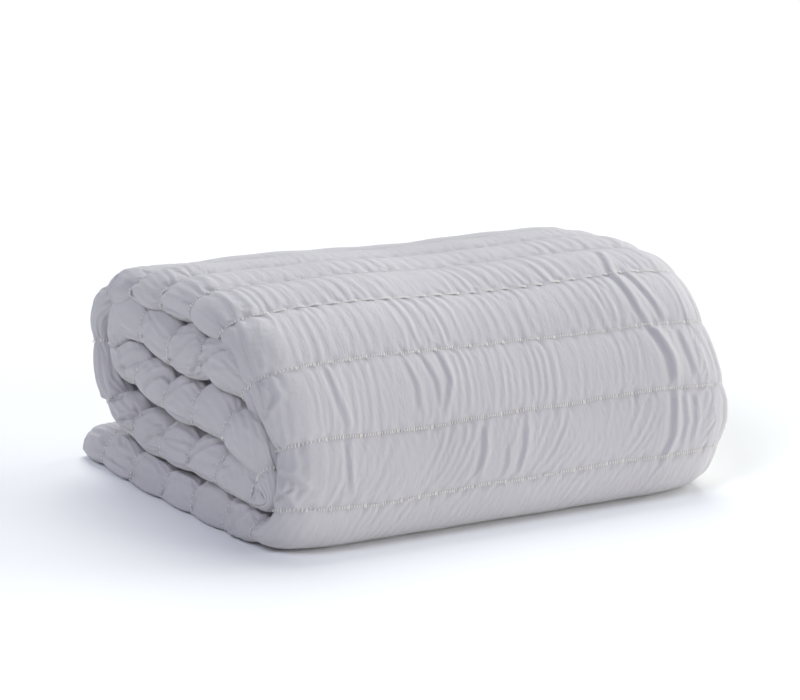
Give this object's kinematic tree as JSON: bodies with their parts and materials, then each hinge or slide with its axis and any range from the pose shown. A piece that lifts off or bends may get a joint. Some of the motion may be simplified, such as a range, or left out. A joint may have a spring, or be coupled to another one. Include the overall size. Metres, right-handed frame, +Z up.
{
  "type": "folded quilted coverlet",
  "caption": "Quilted bed coverlet in pale lavender-grey cloth, folded lengthwise and wound into a soft flat-bottomed bundle with folded edges at one end and hems at the other.",
  "frame": {"origin": "on the surface the bundle lies on, under the middle of its bounding box", "axes": "+X along the bundle from the folded edges to the hems, +Y from the rounded front to the back, +Z up"},
  "size_m": [0.5908, 0.4634, 0.2385],
  "materials": {
    "coverlet_cloth": "soft matt microfibre with a slight sheen, quilted in puffed cross channels with small tone-on-tone stitches"
  },
  "bodies": {
    "root": {"coverlet": "coverlet_cloth"}
  },
  "joints": []
}
